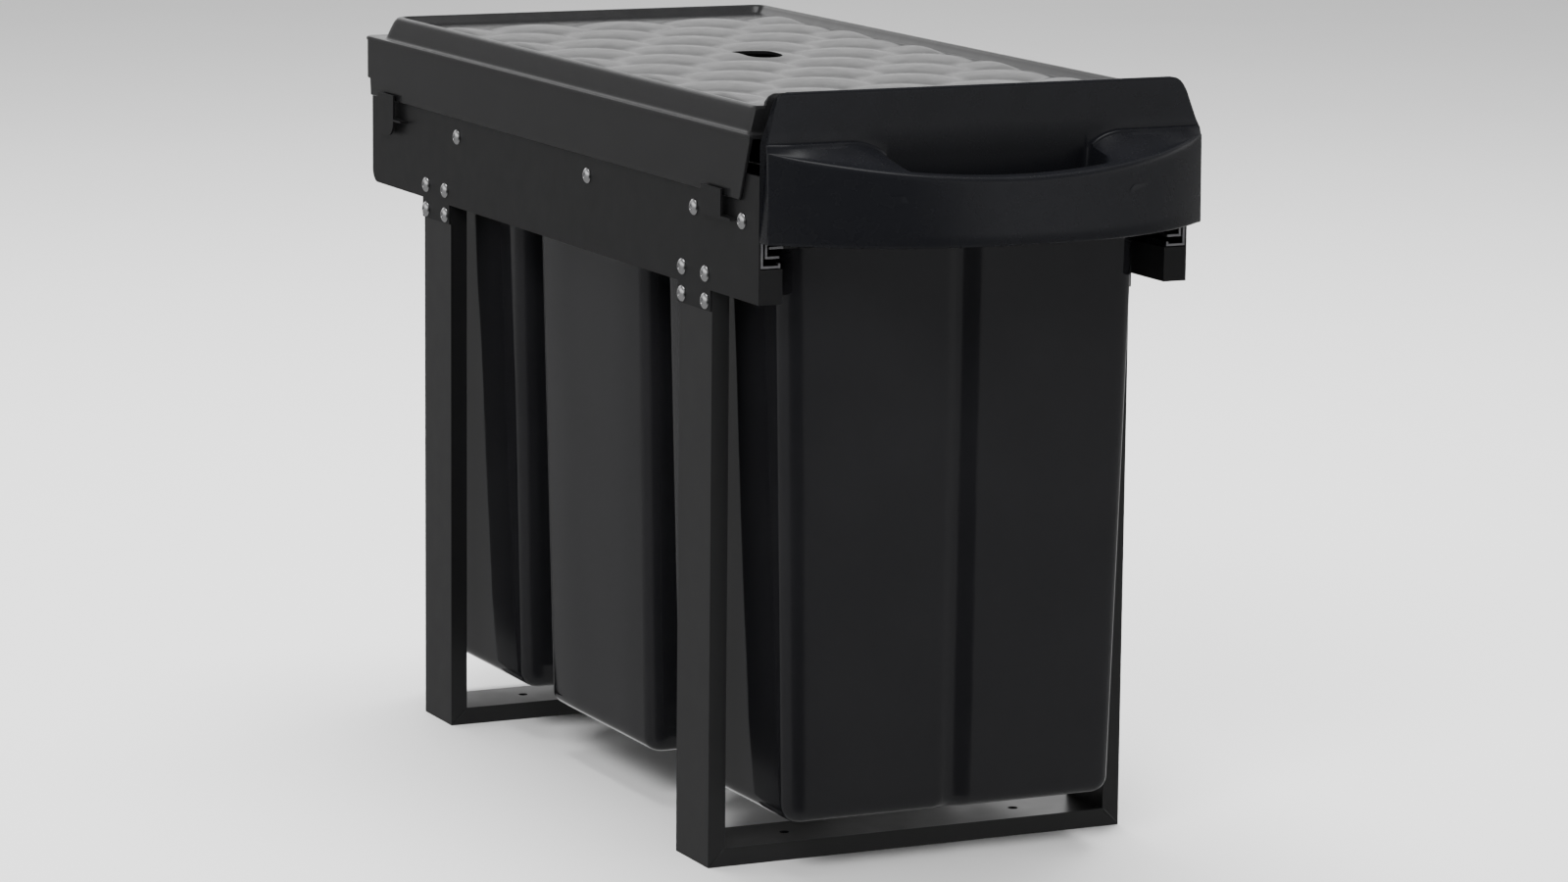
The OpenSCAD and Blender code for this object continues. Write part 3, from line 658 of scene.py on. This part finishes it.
def slot_cutter():
    """An upright prism with the rounded outline of the finger slot."""
    radius = SLOT_HALF_W - 0.5
    rings = []
    for z in (SKIRT_TOP, lid_high.z + 10):
        ring = []
        for sx, sy, start in ((1, 1, 0), (-1, 1, 90), (-1, -1, 180), (1, -1, 270)):
            ring += [(x, y, z) for x, y in arc(sx * (SLOT_HALF_W - radius),
                                               LID_MID_Y + sy * (SLOT_HALF_L - radius),
                                               radius, start, start + 90, 8)]
        rings.append(ring)
    return add_mesh("slot_cutter", *skin(rings))


def lid_shell():
    verts, faces, border = lid_grid()
    previous = border
    for ring in LID_RINGS:
        start = len(verts)
        verts += [lid_ring_point(verts[i], ring) for i in border]
        current = list(range(start, start + len(border)))
        for a in range(len(border)):
            b = (a + 1) % len(border)
            faces.append((previous[a], current[a], current[b], previous[b]))
        previous = current
    shell = add_mesh("lid_shell", verts, faces)
    # an open shell's normals must face up before it is thickened downwards
    if shell.data.polygons[len(shell.data.polygons) // 3].normal.z < 0:
        shell.data.flip_normals()
    thick = shell.modifiers.new("thick", "SOLIDIFY")
    thick.thickness = LID_WALL * MM
    thick.offset = -1
    thick.use_even_offset = True
    cutter = slot_cutter()
    cut = shell.modifiers.new("cut", "BOOLEAN")
    cut.operation = "DIFFERENCE"
    cut.solver = "EXACT"
    cut.object = cutter
    bake_modifiers(shell)
    bpy.data.objects.remove(cutter)
    dress(shell, "lid", "lid_plastic", ["lid"])


SKIRT_SLANT = 13.0
REAR_LIFT = 10.0
SKIRT_NOTCH_Y = lid_high.y - 9
SKIRT_R = 4.0
SKIRT_EDGE = 0.45


def skirt_bottom(y):
    """Height of the skirt's lower edge: slanted at the front and raised at the rear."""
    if y < lid_low.y + SKIRT_SLANT:
        return mix(SKIRT_TOP, lid_low.z, max(y - lid_low.y, 0) / SKIRT_SLANT)
    return lid_low.z + REAR_LIFT * smoothstep((y - SKIRT_NOTCH_Y) / 1.0)


def lid_skirt():
    """The skirt round both sides and the rear: a strip whose section follows a plan line."""
    half = lid_high.x - 0.5
    front = lid_low.y + 0.4
    rear = lid_high.y - 0.5
    slant_end = lid_low.y + SKIRT_SLANT
    sides_y = [front, front + 2, front + 6.5, slant_end - 0.6, slant_end + 0.6, slant_end + 6,
               -120.0, 0.0, 120.0, 220.0, SKIRT_NOTCH_Y - 2, SKIRT_NOTCH_Y, SKIRT_NOTCH_Y + 1.0]
    plan = [((-half, y), (1, 0)) for y in sides_y]
    for x, y in arc(-half + SKIRT_R, rear - SKIRT_R, SKIRT_R, 180, 90, 6):
        inward = Vector((-half + SKIRT_R - x, rear - SKIRT_R - y)).normalized()
        plan.append(((x, y), tuple(inward)))
    plan += [((half * t, rear), (0, -1)) for t in (-0.5, 0.0)]
    plan += [((-x, y), (-ix, iy)) for (x, y), (ix, iy) in reversed(plan[:-1])]
    top = SKIRT_TOP + 0.3
    rings = []
    for (x, y), (ix, iy) in plan:
        low = skirt_bottom(y)
        high = max(top, low + 1.2)
        e = min(SKIRT_EDGE, (high - low) / 3)
        section = [(0.0, low + e), (e, low), (LID_WALL - e, low), (LID_WALL, low + e),
                   (LID_WALL, high), (0.0, high)]
        rings.append([(x + ix * d, y + iy * d, z) for d, z in section])
    dress(add_mesh("lid_skirt", *skin(rings)), "lid", "lid_plastic")


LIP_HALF = lid_high.x - 12.6
LIP_T = 3.0
# (share of the lip's half length, how far its top drops there)
LIP_STATIONS = ((-1.0, 4.0), (-0.985, 1.4), (-0.96, 0.0), (-0.5, 0.0), (0.0, 0.0), (0.5, 0.0),
                (0.96, 0.0), (0.985, 1.4), (1.0, 4.0))
RIB_W = 4.8
RIB_T = 2.0
RIB_COUNT = 5
RIB_END = 60.0
RIB_OVERLAP = 0.4
RIB_EDGE = 0.4


def lid_lip():
    """The raised lip behind the front panel."""
    rings = []
    for t, drop in LIP_STATIONS:
        top = lid_high.z - drop
        section = [(0.0, FIELD_Z - 2), (0.0, top - 1.2), (0.35, top - 0.35), (1.2, top),
                   (LIP_T - 1.2, top), (LIP_T - 0.35, top - 0.35), (LIP_T, top - 1.2),
                   (LIP_T + 0.6, FIELD_Z + 1.5), (LIP_T + 2.0, FIELD_Z - 2)]
        rings.append([(LIP_HALF * t, CROWN_FRONT + d, z) for d, z in section])
    dress(add_mesh("lid_front_lip", *skin(rings)), "lid", "lid_plastic")


def lid_ribs():
    """Ribs inside the skirt, over the side rails."""
    rail_low, rail_high = node_box("left_side_rail")
    pitch = (rail_high.y - rail_low.y - 2 * RIB_END) / (RIB_COUNT - 1)
    ribs = []
    skirt_inside = lid_high.x - LID_WALL
    for side in (-1, 1):
        for i in range(RIB_COUNT):
            y = rail_low.y + RIB_END + i * pitch
            inner, outer = sorted((side * (skirt_inside - RIB_W),
                                   side * (skirt_inside + RIB_OVERLAP)))
            ribs.append(soft_block((inner, y, rail_high.z), (outer, y + RIB_T, SKIRT_TOP + 1),
                                   RIB_EDGE))
    dress(add_mesh("lid_ribs", *join_parts(ribs)), "lid", "lid_plastic")


lid_shell()
lid_skirt()
lid_lip()
lid_ribs()

# ---- front panel ----

panel_low, panel_high = node_box("front_panel")
PANEL_BACK = panel_high.y
PANEL_FACE = PANEL_BACK - 7.3
PANEL_WALL = 3.0
PANEL_LEAN = 4.3
BOW_HALF = panel_high.x
BOW_POWER = 2.6
BOW_END = 3.0
BOW_TOP_DEPTH = 45.0
BOW_LOW_DEPTH = 50.5
BOW_EDGE_R = 2.0
RIM_R = 3.2
RIM_SIDE_Z = panel_high.z - 30.2
RIM_DIP = 12.5
RIM_DIP_POWER = 1.85
RIM_DIP_HALF = 126.0
SHOULDER_Z = panel_high.z - 26.0
SHOULDER_X = 79.0
POCKET_X = 58.0
POCKET_EDGE_Z = SHOULDER_Z - 13.5
POCKET_FLOOR = panel_low.z + 6
POCKET_REACH = 2.5
POCKET_FADE = 4.0
GRIP_T = 13.5
PLATE_TOP_HALF = 120.0
PLATE_CORNER_R = 8.0
WALL_SLOPE = 2.5
LEDGE_DEPTH = 5.0
LEDGE_DROP = 1.6
DISH_POWER = 1.25
PLATE_FOOT = 1.5
SHALLOW_HOLLOW = 3.0
DEEP_HOLLOW = 24.0
HOLLOW_SIDE = 118.0
HOLLOW_END = 126.0
# heights up the plate's front and down its back, as shares between the shoulder and the top
PLATE_HEIGHTS = (0.25, 0.5, 0.69, 0.78, 0.86, 0.92, 0.96)
BACK_HEIGHTS = (0.92, 0.86, 0.78, 0.69, 0.5, 0.0)


def plate_half(z):
    """Half width of the panel at a height: straight, then narrowing to its rounded corners."""
    if z <= SHOULDER_Z:
        return BOW_HALF
    lean_top = panel_high.z - 5
    half = mix(BOW_HALF - 0.6, PLATE_TOP_HALF, min((z - SHOULDER_Z) / (lean_top - SHOULDER_Z), 1.0))
    above = z - (panel_high.z - PLATE_CORNER_R)
    if above > 0:
        half -= PLATE_CORNER_R - math.sqrt(max(PLATE_CORNER_R ** 2 - above ** 2, 0.0))
    return half


def shoulder_line(ax):
    """Height at which the shoulder's surface meets the plate, by distance from the middle."""
    if ax >= SHOULDER_X:
        return SHOULDER_Z
    t = min((SHOULDER_X - ax) / (SHOULDER_X - POCKET_X), 1.0)
    return SHOULDER_Z - (SHOULDER_Z - POCKET_EDGE_Z) * (1 - math.sqrt(1 - (t * 0.97) ** 2))


def hollow_depth(ax):
    """How far the underside is hollowed: little below the pocket, deep in each shoulder."""
    if ax < HOLLOW_SIDE:
        deep = smoothstep((ax - POCKET_X - 2) / 5) * smoothstep((HOLLOW_SIDE - ax) / 6)
        return SHALLOW_HOLLOW + DEEP_HOLLOW * deep
    return SHALLOW_HOLLOW * smoothstep((HOLLOW_END - ax) / 8)


def panel_underside(ax, low_f):
    """The outline's lower side, from the panel's back to the bow's lower edge."""
    z0 = panel_low.z
    top = z0 + hollow_depth(ax)
    f_in, f_out = min(PANEL_WALL, low_f * 0.4), max(low_f - PANEL_WALL, low_f * 0.6)
    return [(PANEL_FACE - PANEL_BACK, z0), (f_in, z0), (f_in, top), (f_out, top), (f_out, z0)]


def panel_front(low_f, top_f, rim_z, rim_r):
    """The bow's front face between its rounded lower edge and its rounded rim."""
    z0 = panel_low.z
    edge_r = min(BOW_EDGE_R, low_f * 0.3)
    edge = [(low_f - edge_r * (1 - math.sin(math.radians(a))),
             z0 + edge_r * (1 - math.cos(math.radians(a)))) for a in (0, 30, 60, 90)]
    face = [(mix(low_f, top_f, t), mix(z0 + edge_r, rim_z - rim_r, t))
            for t in (0.15, 0.35, 0.55, 0.75, 0.9)]
    rim = [(top_f - rim_r * (1 - math.cos(math.radians(a))),
            rim_z - rim_r * (1 - math.sin(math.radians(a)))) for a in (0, 22, 45, 67, 90)]
    return edge + face + rim


def pocket_line(grip_f, start_f, rim_z):
    """The top at the finger pocket: over the grip, down its wall, along the floor and up."""
    inner_f = max(grip_f, start_f * 0.5)
    wall_f = inner_f - WALL_SLOPE
    return [(mix(start_f, inner_f + 2, 0.5), rim_z + 0.1), (inner_f + 2, rim_z + 0.1),
            (inner_f + 0.8, rim_z - 0.4), (inner_f, rim_z - 1.8),
            (mix(inner_f, wall_f, 0.5), mix(rim_z, POCKET_FLOOR, 0.5)),
            (wall_f, POCKET_FLOOR + 3), (wall_f - 1, POCKET_FLOOR + 0.8),
            (wall_f - 3, POCKET_FLOOR), (PLATE_FOOT + 3, POCKET_FLOOR),
            (PLATE_FOOT + 1, POCKET_FLOOR + 0.8), (PLATE_FOOT, POCKET_FLOOR + 3),
            (PLATE_FOOT * 0.6, mix(POCKET_FLOOR, SHOULDER_Z, 0.5)), (0.2, POCKET_EDGE_Z + 6)]


def dish_line(shoulder_z, start_f, rim_z, count):
    """The top beside the pocket: a shallow dish from the rim to a ledge at the plate."""
    ledge_f = min(LEDGE_DEPTH, start_f * 0.55)
    ledge = [(ledge_f - 0.5, shoulder_z - LEDGE_DROP * 0.3), (ledge_f - 1.3, shoulder_z),
             (ledge_f * 0.4, shoulder_z), (0.2, shoulder_z + 0.1)]
    steps = count - len(ledge)
    return [(mix(start_f, ledge_f, i / steps),
             mix(rim_z, shoulder_z - LEDGE_DROP, (i / steps) ** DISH_POWER))
            for i in range(1, steps + 1)] + ledge


def panel_plate(foot_z):
    """The plate: it leans back to its rounded top edge, and comes down again behind."""
    back = PANEL_FACE - PANEL_BACK
    front = [(0.0, max(SHOULDER_Z + 0.6, foot_z + 0.5))]
    front += [(-PANEL_LEAN * t, mix(SHOULDER_Z, panel_high.z, t)) for t in PLATE_HEIGHTS]
    crest = [(-PANEL_LEAN - 0.25, panel_high.z - 0.5), (-PANEL_LEAN - 1.0, panel_high.z),
             (-PANEL_LEAN - 2.2, panel_high.z), (back, panel_high.z - 0.8)]
    behind = [(back, mix(SHOULDER_Z, panel_high.z, t)) for t in BACK_HEIGHTS]
    return front + crest + behind


def panel_section(s):
    """The panel's closed outline in (forward, height) at s, from -1 at one side to 1."""
    ax = abs(s) * BOW_HALF
    bow = 1 - (ax / BOW_HALF) ** BOW_POWER
    low_f = mix(BOW_END + 1, BOW_LOW_DEPTH, bow)
    top_f = mix(BOW_END, BOW_TOP_DEPTH, bow)
    rim_z = RIM_SIDE_Z - RIM_DIP * (1 - (min(ax, RIM_DIP_HALF) / RIM_DIP_HALF) ** RIM_DIP_POWER)
    rim_r = min(RIM_R, top_f * 0.25)
    outline = panel_underside(ax, low_f) + panel_front(low_f, top_f, rim_z, rim_r)
    # the top is the pocket's line in the middle and the dish's at the sides, blended between
    pocket = smoothstep((POCKET_X + POCKET_REACH - ax) / POCKET_FADE)
    inside = pocket_line(top_f - GRIP_T, top_f - rim_r, rim_z)
    beside = dish_line(shoulder_line(ax), top_f - rim_r, rim_z, len(inside))
    outline += [(mix(sf, pf, pocket), mix(sz, pz, pocket))
                for (pf, pz), (sf, sz) in zip(inside, beside)]
    return outline + panel_plate(outline[-1][1])


# distances across the panel, closer together at its ends and at the pocket's sides
PANEL_PLACES = (0.0, 10, 20, 30, 40, 48, 53, 55.5, 56.5, 57.3, 58, 58.7, 59.5, 60.5, 62, 64, 67, 70,
                74, 78, 82, 88, 94, 100, 105, 110, 114, 117, 120, 122, 123.5, 124.8, 125.8, 126.5)
PANEL_EDGE = 0.5
PANEL_EDGE_ANGLE = math.radians(60)


def panel_stations():
    """Places across the panel as shares of its half width, from side to side."""
    half = [place / BOW_HALF for place in PANEL_PLACES] + [1.0]
    return [-s for s in reversed(half[1:])] + half


def front_panel():
    rings = []
    for s in panel_stations():
        rings.append([(s * plate_half(z), PANEL_FACE - f, z) for f, z in panel_section(s)])
    piece = add_mesh("front_panel_moulding", *skin(rings))
    bevel = piece.modifiers.new("bevel", "BEVEL")
    bevel.width = PANEL_EDGE * MM
    bevel.segments = 2
    bevel.limit_method = "ANGLE"
    bevel.angle_limit = PANEL_EDGE_ANGLE
    bake_modifiers(piece)
    dress(piece, "carriage", "panel_plastic", ["front_panel"])


front_panel()

# ---- floor, light and camera ----

FLOOR_HALF = 6000.0
# the studio's light by direction, as factors that multiply: (direction, the cosines where the
# change starts and ends, factor outside, factor inside)
SKY = (
    ((0, 0, 1), -0.12, 0.30, 0.25, 1.0),             # dim below the horizon
    ((0, 0, 1), 0.35, 0.60, 1.0, 0.25),              # dimmer higher up
    ((0, 0, 1), 0.92, 0.985, 1.0, 15.0),             # a bright patch straight overhead
    ((-0.42, -0.90, 0), 0.60, 0.95, 1.0, 0.10),      # dark at the front left
    ((-0.43, 0.89, 0.35), 0.90, 0.975, 1.0, 0.48),   # softer at the rear left
    ((-0.16, 0.89, 0.41), 0.965, 0.99, 1.0, 2.4),    # brighter behind the object
    ((0.43, 0.86, -0.30), 0.90, 0.985, 1.0, 3.2),
    ((0.43, 0.86, 0.30), 0.88, 0.985, 1.0, 1.25),
)


def sky_strength(tree):
    """Nodes that multiply the sky's factors for each direction."""
    place = tree.nodes.new("ShaderNodeTexCoord").outputs["Generated"]
    strength = None
    for direction, start, end, outside, inside in SKY:
        dot = tree.nodes.new("ShaderNodeVectorMath")
        dot.operation = "DOT_PRODUCT"
        dot.inputs[1].default_value = Vector(direction).normalized()
        tree.links.new(place, dot.inputs[0])
        ramp = tree.nodes.new("ShaderNodeMapRange")
        ramp.interpolation_type = "SMOOTHSTEP"
        for socket, number in (("From Min", start), ("From Max", end),
                               ("To Min", outside), ("To Max", inside)):
            ramp.inputs[socket].default_value = number
        tree.links.new(dot.outputs["Value"], ramp.inputs["Value"])
        if strength is None:
            strength = ramp.outputs["Result"]
            continue
        product = tree.nodes.new("ShaderNodeMath")
        product.operation = "MULTIPLY"
        tree.links.new(strength, product.inputs[0])
        tree.links.new(ramp.outputs["Result"], product.inputs[1])
        strength = product.outputs[0]
    return strength


def studio():
    half = FLOOR_HALF
    floor = add_mesh("floor", [(-half, -half, 0), (half, -half, 0), (half, half, 0),
                               (-half, half, 0)], [(0, 1, 2, 3)])
    paper = Shader("studio_floor", Roughness=0.9, Specular_IOR_Level=0.0)
    paper.colour(paper.blend(paper.noise(3), (0.86, 0.86, 0.86), (0.89, 0.89, 0.89)))
    floor.data.materials.append(paper.material)
    floor.visible_glossy = False
    world = bpy.data.worlds.new("studio")
    world.use_nodes = True
    background = world.node_tree.nodes["Background"]
    background.inputs["Color"].default_value = (1, 1, 1, 1)
    world.node_tree.links.new(sky_strength(world.node_tree), background.inputs["Strength"])
    bpy.context.scene.world = world


# (name, place, target, size, watts)
LIGHTS = (("key", (-2.2, -2.4, 2.6), (0, 0, 0.25), (1.6, 1.6), 150),
          ("top", (0.4, 0.8, 3.0), (0, 0, 0.3), (2.2, 2.2), 200))


def soft_light(name, place, target, size, watts):
    """A square lamp that lights surfaces but isn't seen in their gloss."""
    light = bpy.data.lights.new(name, "AREA")
    light.shape = "RECTANGLE"
    light.size, light.size_y = size
    light.energy = watts
    lamp = bpy.data.objects.new(name, light)
    lamp.location = place
    lamp.visible_glossy = False
    lamp.rotation_euler = (Vector(target) - Vector(place)).to_track_quat("-Z", "Y").to_euler()
    bpy.context.collection.objects.link(lamp)


CAMERA_PLACE = (-1.28919, -2.75503, 0.72262)
CAMERA_YAW = 0.442173
CAMERA_PITCH = 0.173033
CAMERA_ROLL = 0.009876
CAMERA_LENS = 123.621
SENSOR_WIDTH = 36.0


def camera():
    data = bpy.data.cameras.new("camera")
    data.sensor_width = SENSOR_WIDTH
    data.lens = CAMERA_LENS
    data.clip_start, data.clip_end = 0.1, 100
    forward = Vector((math.sin(CAMERA_YAW) * math.cos(CAMERA_PITCH),
                      math.cos(CAMERA_YAW) * math.cos(CAMERA_PITCH), -math.sin(CAMERA_PITCH)))
    level = Vector((math.cos(CAMERA_YAW), -math.sin(CAMERA_YAW), 0))
    upright = level.cross(forward)
    right = level * math.cos(CAMERA_ROLL) + upright * math.sin(CAMERA_ROLL)
    up = upright * math.cos(CAMERA_ROLL) - level * math.sin(CAMERA_ROLL)
    turn = Matrix((right, up, -forward)).transposed()
    made = bpy.data.objects.new("camera", data)
    made.matrix_world = Matrix.Translation(CAMERA_PLACE) @ turn.to_4x4()
    bpy.context.collection.objects.link(made)
    bpy.context.scene.camera = made


studio()
for light_settings in LIGHTS:
    soft_light(*light_settings)
camera()
